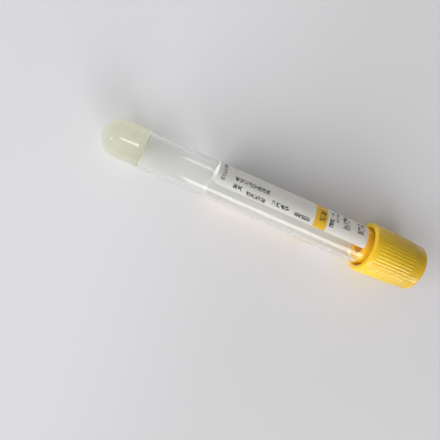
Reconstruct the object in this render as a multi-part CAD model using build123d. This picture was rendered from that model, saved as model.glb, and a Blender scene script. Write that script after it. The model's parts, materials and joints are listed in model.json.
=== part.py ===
from build123d import *
import math
import os

# Evacuated blood collection tube: a clear moulded tube with separator gel in its closed end, a
# wrapped label, and a push-on safety cap that holds a rubber stopper. All lengths are millimetres.
#
# Each piece is drawn as (radius, station) about the tube's own axis. A station is the distance
# along that axis from the outside of the closed end. Only then is the whole thing laid down on a
# flat surface, with +Z up and the cap towards +X: it rests on its round end and on the cap's lip.

SEAM_ANGLE = 16.8  # from straight up to the seam of each turned face, degrees: off the line of rest

# ---- Tube ----
TUBE_LENGTH = 100.0
TUBE_RIM_RADIUS = 6.4  # outside, at the open rim
TUBE_TAPER = 0.4  # by which the round closed end's radius is smaller
TUBE_WALL = 1.0
RIM_EDGE_ROUND = 0.3

# ---- Separator gel ----
GEL_LEVEL = 13.2  # station of the gel's flat surface
GEL_PLAY = 0.01  # kept between gel and bore
MENISCUS_RADIUS = 1.1
MENISCUS_TURN = 50.0  # degrees that the surface turns up at the wall

# ---- Label ----
LABEL_LENGTH = 52.7
LABEL_TO_CAP = 2.2  # bare tube between label and cap
LABEL_WIDTH = 29.8  # measured round the tube
LABEL_THICKNESS = 0.08
LABEL_GLUE = 0.02
LABEL_CORNER = 1.0
LABEL_EDGE_ANGLE = 10.0  # from straight up to the label's near edge, degrees towards -Y

# ---- Stopper ----
PLUG_LENGTH = 10.0  # below the rim
PLUG_FIT = 0.03  # radial, between plug and bore
PLUG_NOSE_ROUND = 0.8
PLUG_WELL_RADIUS = 3.0
HEAD_HEIGHT = 9.6  # above the rim
HEAD_OVERHANG = 0.55  # of the head past the rim's outside
HEAD_WELL_RADIUS = 3.4
MEMBRANE_THICKNESS = 3.6  # what the needle pierces
MEMBRANE_RISE = 0.2  # of its lower face above the rim
WELL_FLOOR_ROUND = 0.8

# ---- Cap ----
CAP_SKIRT_LENGTH = 8.6  # of the cap past the rim, down over the tube
SKIRT_CLEARANCE = 0.35  # radial, over the tube
SKIRT_WALL = 1.63  # between the ribs, where the collar ends
LIP_FLARE = 0.05  # by which the lip stands out past the collar's other end
COLLAR_HEIGHT = 2.0  # smooth, from the lip to the ribs
COLLAR_STEP = 0.4  # length of the slope from the collar down to the body
POCKET_PLAY = 0.05  # radial, between the stopper's head and the cap
POCKET_DRAFT = 0.4  # by which the pocket and the head narrow towards the top
POCKET_WALL = 1.2  # at the top
CAP_TOP_THICKNESS = 1.7
CAP_TOP_ROUND = 1.1
CAP_LIP_ROUND = 0.6
CAP_LIP_WALL = 1.65  # across the lip's face
BEAD_CLEARANCE = 0.2  # radial, of the bead that holds the stopper's head, over the tube
BEAD_HEIGHT = 1.2
BEAD_LEAD = 1.0
FLARE_HEIGHT = 0.9  # of the lead-in inside the lip
PORT_RADIUS = 4.0
PORT_EDGE_ROUND = 0.3

# ---- Grip ribs on the cap ----
RIB_COUNT = 46
RIB_HEIGHT = 0.17
RIB_EMBED = 0.2  # depth that each rib reaches into the cap, so that they fuse
RIB_WIDTH = 0.52
RIB_RUN_OUT = 0.5  # length of the sloping end of a rib, towards the top
TOP_BAND_HEIGHT = 4.5  # smooth, from the ribs to the top

# ---- Derived sizes ----
# The tube's wall is a cone tangent to its round end, so its draft follows from the two radii.
TUBE_END_RADIUS = TUBE_RIM_RADIUS - TUBE_TAPER
_END_TO_RIM = TUBE_LENGTH - TUBE_END_RADIUS
TUBE_DRAFT = math.atan2(TUBE_RIM_RADIUS, _END_TO_RIM) - math.asin(
    TUBE_END_RADIUS / math.hypot(TUBE_RIM_RADIUS, _END_TO_RIM)
)
CAP_LIP = TUBE_LENGTH - CAP_SKIRT_LENGTH
LABEL_END = CAP_LIP - LABEL_TO_CAP
HEAD_TOP = TUBE_LENGTH + HEAD_HEIGHT
HEAD_RADIUS = TUBE_RIM_RADIUS + HEAD_OVERHANG
POCKET_RADIUS = HEAD_RADIUS + POCKET_PLAY
SKIRT_RADIUS = TUBE_RIM_RADIUS + SKIRT_CLEARANCE
CAP_TOP = HEAD_TOP + CAP_TOP_THICKNESS
CAP_TOP_RADIUS = POCKET_RADIUS - POCKET_DRAFT + POCKET_WALL
CAP_BODY_RADIUS = SKIRT_RADIUS + SKIRT_WALL
COLLAR_END = CAP_LIP + COLLAR_HEIGHT
COLLAR_END_RADIUS = CAP_BODY_RADIUS + RIB_HEIGHT  # flush with the ribs
CAP_LIP_RADIUS = COLLAR_END_RADIUS + LIP_FLARE
COLLAR_DRAFT = math.atan2(CAP_LIP_RADIUS - COLLAR_END_RADIUS, COLLAR_HEIGHT)
CAP_DRAFT = math.atan2(CAP_BODY_RADIUS - CAP_TOP_RADIUS, CAP_TOP - COLLAR_END)


def tube_radius(station, inset=0.0):
    """Radius of the tube's outside, or of the surface that lies inset below it."""
    drafted = TUBE_RIM_RADIUS - (TUBE_LENGTH - station) * math.tan(TUBE_DRAFT)
    return drafted - inset / math.cos(TUBE_DRAFT)


def collar_radius(station):
    """Radius of the collar's outside."""
    return CAP_LIP_RADIUS - (station - CAP_LIP) * math.tan(COLLAR_DRAFT)


def cap_radius(station):
    """Radius of the cap's outside past the collar, between the ribs."""
    return CAP_BODY_RADIUS - (station - COLLAR_END) * math.tan(CAP_DRAFT)


def turned(outline, angle=360.0, start=SEAM_ANGLE):
    """Solid that an outline of (radius, station) makes when it turns about the axis."""
    return Rot(Z=start) * revolve(Plane.XZ * make_face(outline), Axis.Z, angle)


def round_end(inset):
    """Arc of the closed end, inset below its outside, and the point where the wall begins."""
    radius = TUBE_END_RADIUS - inset
    wall_start = (radius * math.cos(TUBE_DRAFT), TUBE_END_RADIUS - radius * math.sin(TUBE_DRAFT))
    half_way = math.radians(45)
    middle = (radius * math.sin(half_way), TUBE_END_RADIUS - radius * math.cos(half_way))
    return ThreePointArc((0, inset), middle, wall_start), wall_start


def filled_tube(inset, top):
    """Solid inside the tube's outside less inset, from the closed end to a station."""
    arc, wall_start = round_end(inset)
    walls = Polyline(wall_start, (tube_radius(top, inset), top), (0, top), (0, inset))
    return turned([arc, walls])


def make_tube():
    """Clear tube: round closed end, drafted wall and a rounded rim."""
    shell = filled_tube(0, TUBE_LENGTH) - filled_tube(TUBE_WALL, TUBE_LENGTH)
    rim = shell.edges().filter_by(GeomType.CIRCLE).group_by(Axis.Z)[-1]
    return fillet(rim, RIM_EDGE_ROUND)


def make_gel():
    """Gel in the closed end, with a flat surface that turns up at the wall."""
    inset = TUBE_WALL + GEL_PLAY
    turn = math.radians(MENISCUS_TURN)
    wall_top = GEL_LEVEL + MENISCUS_RADIUS * (1 - math.cos(turn))
    wall_radius = tube_radius(wall_top, inset)
    flat_radius = wall_radius - MENISCUS_RADIUS * math.sin(turn)
    meniscus = RadiusArc((flat_radius, GEL_LEVEL), (wall_radius, wall_top), -MENISCUS_RADIUS)
    arc, wall_start = round_end(inset)
    wall = Line(wall_start, (wall_radius, wall_top))
    middle = Polyline((flat_radius, GEL_LEVEL), (0, GEL_LEVEL), (0, inset))
    return turned([arc, wall, meniscus, middle])


def corner_waste(station, angle, inward, onward):
    """What rounding cuts off one corner of the label, once the label is wrapped.

    inward and onward are 1 or -1: the way into the sheet along the axis and round it.
    """
    radius = tube_radius(station)
    square = Rectangle(2 * LABEL_CORNER, 2 * LABEL_CORNER)
    waste = Pos(-onward * LABEL_CORNER, -inward * LABEL_CORNER) * square - Circle(LABEL_CORNER)
    centre = Pos(radius, 0, station + inward * LABEL_CORNER)
    turn = Rot(Z=angle + onward * math.degrees(LABEL_CORNER / radius))
    return turn * centre * extrude(Plane.YZ * waste, LABEL_CORNER, both=True)


def make_label():
    """Thin sheet wrapped on the tube's wall, with rounded corners."""
    start = LABEL_END - LABEL_LENGTH
    inner, outer = -LABEL_GLUE, -LABEL_GLUE - LABEL_THICKNESS
    outline = Polyline(
        (tube_radius(start, inner), start),
        (tube_radius(start, outer), start),
        (tube_radius(LABEL_END, outer), LABEL_END),
        (tube_radius(LABEL_END, inner), LABEL_END),
        close=True,
    )
    wrap = math.degrees(LABEL_WIDTH / tube_radius((start + LABEL_END) / 2, inner))
    first = LABEL_EDGE_ANGLE - wrap
    ends = ((start, 1), (LABEL_END, -1))
    sides = ((first, 1), (LABEL_EDGE_ANGLE, -1))
    waste = [
        corner_waste(station, angle, inward, onward)
        for station, inward in ends
        for angle, onward in sides
    ]
    return turned(outline, wrap, first) - waste


def make_stopper():
    """Rubber stopper: plug in the bore, head on the rim, and a well above and below the membrane."""
    plug_inset = TUBE_WALL + PLUG_FIT
    plug_end = TUBE_LENGTH - PLUG_LENGTH
    membrane = TUBE_LENGTH + MEMBRANE_RISE
    corners = [
        ((PLUG_WELL_RADIUS, plug_end), 0),
        ((tube_radius(plug_end, plug_inset), plug_end), PLUG_NOSE_ROUND),
        ((tube_radius(TUBE_LENGTH, plug_inset), TUBE_LENGTH), 0),
        ((HEAD_RADIUS, TUBE_LENGTH), 0),
        ((HEAD_RADIUS - POCKET_DRAFT, HEAD_TOP), 0),
        ((HEAD_WELL_RADIUS, HEAD_TOP), 0),
        ((HEAD_WELL_RADIUS, membrane + MEMBRANE_THICKNESS), WELL_FLOOR_ROUND),
        ((0, membrane + MEMBRANE_THICKNESS), 0),
        ((0, membrane), 0),
        ((PLUG_WELL_RADIUS, membrane), WELL_FLOOR_ROUND),
    ]
    return turned(FilletPolyline([at for at, _ in corners], radius=[r for _, r in corners], close=True))


def make_rib():
    """One grip rib, flush with the collar and sloping down to the smooth band below the top."""
    low, high = COLLAR_END, CAP_TOP - TOP_BAND_HEIGHT
    outline = Polyline(
        (cap_radius(low) - RIB_EMBED, low),
        (cap_radius(low) + RIB_HEIGHT, low),
        (cap_radius(high - RIB_RUN_OUT) + RIB_HEIGHT, high - RIB_RUN_OUT),
        (cap_radius(high), high),
        (cap_radius(high) - RIB_EMBED, high),
        close=True,
    )
    width = math.degrees(RIB_WIDTH / cap_radius((low + high) / 2))
    return turned(outline, width, -width / 2)


def make_cap():
    """Safety cap: skirt, bead and pocket that hold the stopper, needle port and grip ribs."""
    bead = TUBE_RIM_RADIUS + BEAD_CLEARANCE
    bead_start = TUBE_LENGTH - BEAD_HEIGHT
    corners = [
        ((CAP_LIP_RADIUS - CAP_LIP_WALL, CAP_LIP), 0),
        ((CAP_LIP_RADIUS, CAP_LIP), CAP_LIP_ROUND),
        ((COLLAR_END_RADIUS, COLLAR_END), 0),
        ((cap_radius(COLLAR_END + COLLAR_STEP), COLLAR_END + COLLAR_STEP), 0),
        ((CAP_TOP_RADIUS, CAP_TOP), CAP_TOP_ROUND),
        ((PORT_RADIUS, CAP_TOP), PORT_EDGE_ROUND),
        ((PORT_RADIUS, HEAD_TOP), 0),
        ((POCKET_RADIUS - POCKET_DRAFT, HEAD_TOP), 0),
        ((POCKET_RADIUS, TUBE_LENGTH), 0),
        ((bead, TUBE_LENGTH), 0),
        ((bead, bead_start), 0),
        ((SKIRT_RADIUS, bead_start - BEAD_LEAD), 0),
        ((SKIRT_RADIUS, CAP_LIP + FLARE_HEIGHT), 0),
    ]
    body = turned(FilletPolyline([at for at, _ in corners], radius=[r for _, r in corners], close=True))
    rib = make_rib()
    return body + [Rot(Z=360 * index / RIB_COUNT) * rib for index in range(RIB_COUNT)]


def resting_plane():
    """Plane that lays the axis down: its Z is the tube's axis and its X is the tube's upper side.

    The floor touches the round end and the rounded lip, which sets the tilt. The middle of the
    whole length is over the origin.
    """
    lip_station = CAP_LIP + CAP_LIP_ROUND  # of the centre of the lip's rounding
    lip_radius = collar_radius(lip_station) - CAP_LIP_ROUND / math.cos(COLLAR_DRAFT)
    along = lip_station - TUBE_END_RADIUS
    tilt = math.atan2(lip_radius, along) + math.asin(
        (CAP_LIP_ROUND - TUBE_END_RADIUS) / math.hypot(along, lip_radius)
    )
    top_station = CAP_TOP - CAP_TOP_ROUND  # of the centre of the top edge's rounding
    top_radius = cap_radius(top_station) - CAP_TOP_ROUND / math.cos(CAP_DRAFT)
    furthest = top_station * math.cos(tilt) + top_radius * math.sin(tilt) + CAP_TOP_ROUND
    nearest = TUBE_END_RADIUS * math.cos(tilt) - TUBE_END_RADIUS
    tip = (-(furthest + nearest) / 2, 0, TUBE_END_RADIUS * (1 - math.sin(tilt)))
    return Plane(
        origin=tip,
        x_dir=(-math.sin(tilt), 0, math.cos(tilt)),
        z_dir=(math.cos(tilt), 0, math.sin(tilt)),
    )


PIECES = {
    "tube": make_tube,
    "separator_gel": make_gel,
    "label": make_label,
    "stopper": make_stopper,
    "cap": make_cap,
}

os.makedirs("parts", exist_ok=True)
resting = resting_plane()
for name, make in PIECES.items():
    export_step(resting.location * make(), f"parts/{name}.step")
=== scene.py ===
"""Looks of a blood collection tube with separator gel, a wrapped label and a ribbed safety cap.

The tube lies on a pale table, on its round end and on the lip of its cap. Every piece is drawn as
(radius, station) about the tube's own axis, in millimetres. A station is the distance along that
axis from the outside of the round end. An angle goes round the axis from straight up towards +Y.
"""

import json
import logging
import math
from collections.abc import Iterable, Sequence
from dataclasses import dataclass
from enum import Enum
from typing import ClassVar

import bmesh
import bpy
from mathutils import Matrix, Vector


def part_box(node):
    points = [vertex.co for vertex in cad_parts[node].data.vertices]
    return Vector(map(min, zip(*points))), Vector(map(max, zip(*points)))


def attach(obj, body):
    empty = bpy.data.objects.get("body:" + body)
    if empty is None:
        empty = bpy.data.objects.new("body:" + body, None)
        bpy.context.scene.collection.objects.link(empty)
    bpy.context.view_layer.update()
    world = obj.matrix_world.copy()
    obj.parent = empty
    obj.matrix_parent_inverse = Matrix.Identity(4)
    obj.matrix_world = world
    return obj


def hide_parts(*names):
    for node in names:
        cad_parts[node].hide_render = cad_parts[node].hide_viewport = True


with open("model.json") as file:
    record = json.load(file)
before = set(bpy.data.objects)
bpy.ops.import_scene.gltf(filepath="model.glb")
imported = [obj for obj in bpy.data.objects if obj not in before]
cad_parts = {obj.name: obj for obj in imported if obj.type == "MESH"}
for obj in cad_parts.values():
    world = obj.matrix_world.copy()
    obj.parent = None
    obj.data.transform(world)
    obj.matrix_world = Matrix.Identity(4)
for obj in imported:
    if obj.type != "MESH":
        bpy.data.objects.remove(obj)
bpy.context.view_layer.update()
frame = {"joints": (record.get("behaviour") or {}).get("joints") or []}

MM = 0.001  # metres in a millimetre, because pieces are drawn in millimetres
ON_AXIS = 1e-6  # a radius under this is a pole
SAME_SPOT = 1e-5  # corners nearer than this become one
SHARP_ANGLE = math.radians(34)  # a fold over this shows as an edge
ROUNDING_STEPS = 6  # chords in a rounded corner of an outline
FULL_TURN = 2 * math.pi
DEGREES = math.degrees(1)  # in a radian
CLOUD = (0.3, 0.7)  # levels between which most of a cloudy pattern lies

log = logging.getLogger("blood_tube")

Point = tuple[float, float]  # (radius, station)
Corner = tuple[float, float, float]  # (radius, station, rounding)
Colour = tuple[float, float, float]
Mesh = bpy.types.Mesh
Material = bpy.types.Material
Piece = bpy.types.Object
Build = bmesh.types.BMesh
Vertex = bmesh.types.BMVert
Socket = bpy.types.NodeSocket
Feed = Socket | float | int | bool | Sequence[float] | None
Feeds = dict[str | int, Feed]


class Body(Enum):
    """CAD bodies that the pieces ride on."""

    TUBE = "tube_body"
    CLOSURE = "closure"


class Slot(Enum):
    """The record's material slots."""

    CLEAR = "clear_plastic"
    GEL = "gel"
    PAPER = "label_paper"
    RUBBER = "stopper_rubber"
    CAP = "cap_plastic"


class Reading(Enum):
    """Which way a run of print goes on the label."""

    ALONG = 0.0  # along the tube
    ROUND = math.pi / 2  # round the tube


# --- The tube's own axis ---


@dataclass(frozen=True)
class RestingAxis:
    """The tube's axis as the tube lies on the table."""

    tip: Vector  # the outside of the round end
    along: Vector  # towards the cap
    side: Vector
    up: Vector

    @classmethod
    def from_cad(cls, end_radius: float) -> "RestingAxis":
        """Reads the axis from the joint that pulls the cap off and from the tube's own box.

        The round end stands on the table, so its radius gives the height of the tip.

        Args:
            end_radius: outside radius of the round end, in millimetres.

        Returns:
            The axis, in metres.
        """
        along = Vector(frame["joints"][0]["axis"]).normalized()
        side = Vector((0, 1, 0))
        lowest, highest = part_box("tube")
        tip = Vector((lowest.x, (lowest.y + highest.y) / 2, end_radius * MM * (1 - along.z)))
        return cls(tip, along, side, along.cross(side))

    @property
    def tilt(self) -> float:
        """Angle by which the axis rises towards the cap."""
        return math.asin(self.along.z)

    @property
    def turn(self) -> Matrix:
        """Takes directions (along, side, up) to the table's frame."""
        return Matrix((self.along, self.side, self.up)).transposed()

    @property
    def matrix(self) -> Matrix:
        """Takes (station, side, up) in millimetres to the table's frame in metres."""
        return Matrix.Translation(self.tip) @ self.turn.to_4x4() @ Matrix.Scale(MM, 4)


# --- Outlines and meshes ---


def arc(centre: Point, radius: float, first: float, last: float, steps: int) -> list[Point]:
    """Points on an arc.

    Args:
        centre: its centre, as (radius, station).
        radius: its own radius.
        first: angle of its first point, from the outward direction towards the cap.
        last: angle of its last point.
        steps: number of its chords.

    Returns:
        The points, both ends included.
    """
    angles = [first + (last - first) * index / steps for index in range(steps + 1)]
    return [(centre[0] + radius * math.cos(a), centre[1] + radius * math.sin(a)) for a in angles]


def rounded(corners: Sequence[Corner]) -> list[Point]:
    """Closed outline whose corners are rounded.

    Args:
        corners: the corners in order, each with the radius of its rounding, or 0.

    Returns:
        The outline's points.
    """
    points: list[Point] = []
    for index, (radius, station, rounding) in enumerate(corners):
        here = Vector((radius, station))
        if not rounding:
            points.append((radius, station))
            continue
        before = (Vector(corners[index - 1][:2]) - here).normalized()
        after = (Vector(corners[(index + 1) % len(corners)][:2]) - here).normalized()
        half = before.angle(after) / 2
        centre = here + (before + after).normalized() * (rounding / math.sin(half))
        start = here + before * (rounding / math.tan(half)) - centre
        end = here + after * (rounding / math.tan(half)) - centre
        turn = start.angle_signed(end)
        for step in range(ROUNDING_STEPS + 1):
            spoke = start.copy()
            spoke.rotate(Matrix.Rotation(-turn * step / ROUNDING_STEPS, 2))
            points.append(tuple(centre + spoke))
    return points


def subdivided(outline: Sequence[Point], longest: float) -> list[Point]:
    """Outline with points added on its long runs.

    Args:
        outline: the points of the outline.
        longest: length that no run may pass.

    Returns:
        The points, old and new.
    """
    points: list[Point] = []
    for here, following in zip(outline, outline[1:]):
        pieces = max(1, math.ceil(math.dist(here, following) / longest))
        for index in range(pieces):
            share = index / pieces
            points.append(tuple(a + (b - a) * share for a, b in zip(here, following)))
    return [*points, outline[-1]]


def mesh_from(name: str, bm: Build) -> Mesh:
    """Mesh of a closed shape, with its faces turned outwards.

    Args:
        name: the mesh's name.
        bm: the shape. It is freed.

    Returns:
        The mesh.
    """
    bmesh.ops.remove_doubles(bm, verts=bm.verts, dist=SAME_SPOT)
    bmesh.ops.recalc_face_normals(bm, faces=bm.faces)
    mesh = bpy.data.meshes.new(name)
    bm.to_mesh(mesh)
    bm.free()
    return mesh


def linked(name: str, data: bpy.types.ID) -> Piece:
    """New object in the scene.

    Args:
        name: its name.
        data: its mesh, lamp or camera.

    Returns:
        The object, at the origin.
    """
    made = bpy.data.objects.new(name, data)
    bpy.context.scene.collection.objects.link(made)
    return made


def corner_at(bm: Build, radius: float, station: float, angle: float) -> Vertex:
    """New vertex of a shape in (station, side, up) millimetres."""
    return bm.verts.new((station, radius * math.sin(angle), radius * math.cos(angle)))


def bridge(bm: Build, lower: list[Vertex], upper: list[Vertex], closed: bool = True) -> None:
    """Makes the faces between two rows of vertices.

    Args:
        bm: takes the faces.
        lower: one row, which may be a single vertex.
        upper: the other row, which may be a single vertex.
        closed: whether the rows go all the way round.
    """
    count = max(len(lower), len(upper))
    for near in range(count if closed else count - 1):
        far = (near + 1) % count
        loop = [lower[near % len(lower)], lower[far % len(lower)]]
        loop += [upper[far % len(upper)], upper[near % len(upper)]]
        bm.faces.new(list(dict.fromkeys(loop)))


def turned(name: str, outline: Sequence[Point], segments: int = 144) -> Mesh:
    """Closed mesh that an outline makes when it turns about the tube's axis.

    Args:
        name: the mesh's name.
        outline: points of (radius, station). It either starts and ends on the axis or goes
            all the way round a wall.
        segments: number of faces in a full turn.

    Returns:
        The mesh, as (station, side, up) in millimetres.
    """
    bm = bmesh.new()
    angles = [FULL_TURN * index / segments for index in range(segments)]
    rings = [
        [corner_at(bm, radius, station, a) for a in (angles if radius > ON_AXIS else (0.0,))]
        for radius, station in outline
    ]
    open_ended = outline[0][0] < ON_AXIS and outline[-1][0] < ON_AXIS
    for lower, upper in zip(rings, rings[1:] + ([] if open_ended else rings[:1])):
        bridge(bm, lower, upper)
    return mesh_from(name, bm)


# --- Node trees ---


class Wiring:
    """A node tree under construction, where an input takes a value or another node's output."""

    def __init__(self, tree: bpy.types.NodeTree) -> None:
        """Starts on a tree."""
        self.tree = tree

    def node(self, kind: str, feeds: Feeds | None = None, **settings: object) -> bpy.types.Node:
        """Adds a node.

        Args:
            kind: the node's type.
            feeds: what its inputs take, by name or number.
            **settings: its other properties.

        Returns:
            The node.
        """
        made = self.tree.nodes.new(kind)
        for key, value in settings.items():
            setattr(made, key, value)
        for key, value in (feeds or {}).items():
            self.feed(made.inputs[key], value)
        return made

    def feed(self, socket: Socket, value: Feed) -> None:
        """Gives an input what it takes.

        Args:
            socket: the input.
            value: a value, or the output that it is linked to.
        """
        if isinstance(value, bpy.types.NodeSocket):
            self.tree.links.new(value, socket)
        elif socket.type == "RGBA" and len(value) == 3:
            socket.default_value = (*value, 1.0)
        else:
            socket.default_value = value

    def out(self, kind: str, feeds: Feeds, **settings: object) -> Socket:
        """Adds a node as node does and gives its first output."""
        return self.node(kind, feeds, **settings).outputs[0]

    def maths(self, operation: str, *operands: Feed) -> Socket:
        """Output of a Math node."""
        return self.out("ShaderNodeMath", dict(enumerate(operands)), operation=operation)

    def vector(self, x: Feed, y: Feed, z: Feed) -> Socket:
        """Output of a Combine XYZ node."""
        return self.out("ShaderNodeCombineXYZ", {"X": x, "Y": y, "Z": z})


class Paint(Wiring):
    """The node tree of one material, with its patterns in millimetres along and round the tube."""

    def __init__(self, name: str, axis: RestingAxis) -> None:
        """Starts an empty material.

        Args:
            name: the material's name.
            axis: the tube's axis.
        """
        self.material = bpy.data.materials.new(name)
        self.material.use_nodes = True
        super().__init__(self.material.node_tree)
        self.tree.nodes.clear()
        turn = Matrix.Rotation(axis.tilt, 3, "Y")
        feeds = {
            "Vector": self.node("ShaderNodeTexCoord").outputs["Object"],
            "Location": -(turn @ axis.tip) / MM,
            "Rotation": (0, axis.tilt, 0),
            "Scale": (1 / MM, 1 / MM, 1 / MM),
        }
        self.place = self.node("ShaderNodeMapping", feeds).outputs["Vector"]
        parts = self.node("ShaderNodeSeparateXYZ", {0: self.place}).outputs
        self.station, self._side, self._up = parts

    def angle(self, first: float) -> Socket:
        """Angle round the tube in degrees, from 0 at the first up to 360."""
        angle = self.maths("ARCTAN2", self._side, self._up)
        return self.maths(
            "FLOORED_MODULO", self.maths("MULTIPLY_ADD", angle, DEGREES, -first), 360.0
        )

    def outside(self, radius: float, growth: float) -> Socket:
        """Tells whether a point is past a radius that grows along the tube.

        Args:
            radius: that radius at the round end's tip.
            growth: its growth for each millimetre.

        Returns:
            1 outside it and 0 inside.
        """
        flat = self.maths("MULTIPLY", self._side, self._side)
        squares = self.maths("MULTIPLY_ADD", self._up, self._up, flat)
        limit = self.maths("MULTIPLY_ADD", self.station, growth, radius)
        return self.maths("GREATER_THAN", self.maths("SQRT", squares), limit)

    def noise(self, scale: float, detail: float = 2.0, at: Socket | None = None) -> Socket:
        """Cloudy pattern from 0 to 1, with scale in features per millimetre."""
        feeds = {"Vector": at or self.place, "Scale": scale, "Detail": detail}
        return self.node("ShaderNodeTexNoise", feeds).outputs["Fac"]

    def streaks(self, along: float, across: float, scale: float, detail: float) -> Socket:
        """Cloudy pattern that is stretched.

        Args:
            along: share of the scale that holds along the tube.
            across: share of the scale that holds across it.
            scale: features per millimetre.
            detail: octaves of finer noise.

        Returns:
            The pattern, from 0 to 1.
        """
        feeds = {0: self.place, 1: (along, across, across)}
        at = self.out("ShaderNodeVectorMath", feeds, operation="MULTIPLY")
        return self.noise(scale, detail, at)

    def span(
        self, value: Feed, low: float, high: float, to_low: float = 0.0, to_high: float = 1.0
    ) -> Socket:
        """Eases from to_low where a value is low to to_high where it is high, level past both."""
        feeds = dict(enumerate((value, low, high, to_low, to_high)))
        return self.out("ShaderNodeMapRange", feeds, interpolation_type="SMOOTHSTEP")

    def within(self, value: Feed, low: float, high: float, edge: float) -> Socket:
        """1 where a value is between low and high and 0 elsewhere, over a soft edge."""
        rise = self.span(value, low - edge / 2, low + edge / 2)
        return self.maths("MULTIPLY", rise, self.span(value, high + edge / 2, high - edge / 2))

    def blend(self, share: Feed, first: Feed, second: Feed) -> Socket:
        """Mix of two colours."""
        feeds = {"Factor": share, 6: first, 7: second}
        return self.node("ShaderNodeMix", feeds, data_type="RGBA").outputs[2]

    def mixed(self, share: Feed, first: Socket, second: Socket) -> Socket:
        """Mix of two shaders."""
        return self.out("ShaderNodeMixShader", {0: share, 1: first, 2: second})

    def bump(self, height: Socket, depth: float, under: Socket | None = None) -> Socket:
        """Normal of a height from 0 to 1 over a depth in millimetres, on a bumpy surface or not."""
        feeds = {"Height": height, "Distance": depth * MM} | ({"Normal": under} if under else {})
        return self.out("ShaderNodeBump", feeds)

    def surface(self, feeds: Feeds) -> Socket:
        """Output of a Principled shader."""
        return self.out("ShaderNodeBsdfPrincipled", feeds)


# --- Finishes ---


class Finish:
    """What one material looks like."""

    name: ClassVar[str]

    def shader(self, paint: Paint) -> Socket:
        """Draws the finish in a material and gives its shader, in each finish's own way."""
        raise NotImplementedError

    def material(self, axis: RestingAxis) -> Material:
        """Builds the material.

        Args:
            axis: the tube's axis.

        Returns:
            The material.
        """
        paint = Paint(self.name, axis)
        paint.node("ShaderNodeOutputMaterial", {"Surface": self.shader(paint)})
        return paint.material


def glowing(share: float, depth: float, tints: Colour) -> Feeds:
    """Feeds for a share of light under a surface, to a depth in millimetres for each colour."""
    scale = depth * MM
    return {"Subsurface Weight": share, "Subsurface Radius": tints, "Subsurface Scale": scale}


@dataclass(frozen=True)
class ClearPolyester(Finish):
    """Clear moulded polyester with draw ripples along the wall and a little handling haze."""

    name: ClassVar[str] = "clear_polyester"
    tint: Colour = (0.985, 0.99, 0.968)
    bend: float = 1.57
    ripple_depth: float = 0.0004
    gloss: float = 0.002
    haze: float = 0.03
    smudging: float = 0.35  # haze of a smudge, against that of a scratch
    face_tint: Colour = (0.995, 0.996, 0.994)  # what each face lets through of soft light

    def shader(self, paint: Paint) -> Socket:
        """Draws clear plastic, which soft light and lamps cross straight.

        Args:
            paint: the material.

        Returns:
            The shader.
        """
        ripples = paint.streaks(0.05, 0.45, scale=1.0, detail=1.0)
        smudges = paint.span(paint.noise(0.22, 3.0), 0.5, 0.8)
        scratches = paint.span(paint.streaks(0.1, 1.6, scale=1.0, detail=2.0), 0.6, 0.72)
        worn = paint.maths("MAXIMUM", paint.maths("MULTIPLY", smudges, self.smudging), scratches)
        clear = paint.surface({
            "Base Color": self.tint,
            "Roughness": paint.span(worn, 0.0, 1.0, self.gloss, self.haze),
            "IOR": self.bend,
            "Transmission Weight": 1.0,
            "Normal": paint.bump(ripples, self.ripple_depth),
        })
        ray = paint.node("ShaderNodeLightPath").outputs
        soft = paint.maths("MAXIMUM", ray["Is Shadow Ray"], ray["Is Diffuse Ray"])
        straight = paint.out("ShaderNodeBsdfTransparent", {"Color": self.face_tint})
        return paint.mixed(soft, clear, straight)


@dataclass(frozen=True)
class MilkyGel(Finish):
    """Separator gel: soft, cloudy and lit from inside, a little denser in patches."""

    name: ClassVar[str] = "milky_gel"
    thin: Colour = (0.875, 0.885, 0.74)
    dense: Colour = (0.92, 0.925, 0.81)
    depth: float = 60.0  # that light spreads, in millimetres
    spread: Colour = (1.0, 0.98, 0.8)  # shares of that depth
    through: float = 0.7  # share of light that crosses it
    swirl_depth: float = 0.04
    roughness: tuple[float, float] = (0.16, 0.3)  # smoothest and roughest

    def shader(self, paint: Paint) -> Socket:
        """Draws cloudy gel that light crosses.

        Args:
            paint: the material.

        Returns:
            The shader.
        """
        cloud = paint.span(paint.noise(0.3, 4.0), *CLOUD)
        swirl = paint.streaks(0.6, 1.0, scale=0.8, detail=3.0)
        body = paint.blend(cloud, self.thin, self.dense)
        milky = paint.surface({
            "Base Color": body,
            "Roughness": paint.span(swirl, *CLOUD, *self.roughness),
            "IOR": 1.42,
            "Specular IOR Level": 0.06,  # it wets the wall, so little shines where they touch
            **glowing(1.0, self.depth, self.spread),
            "Normal": paint.bump(swirl, self.swirl_depth),
        })
        crossing = paint.out("ShaderNodeBsdfTranslucent", {"Color": body})
        return paint.mixed(self.through, milky, crossing)


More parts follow.
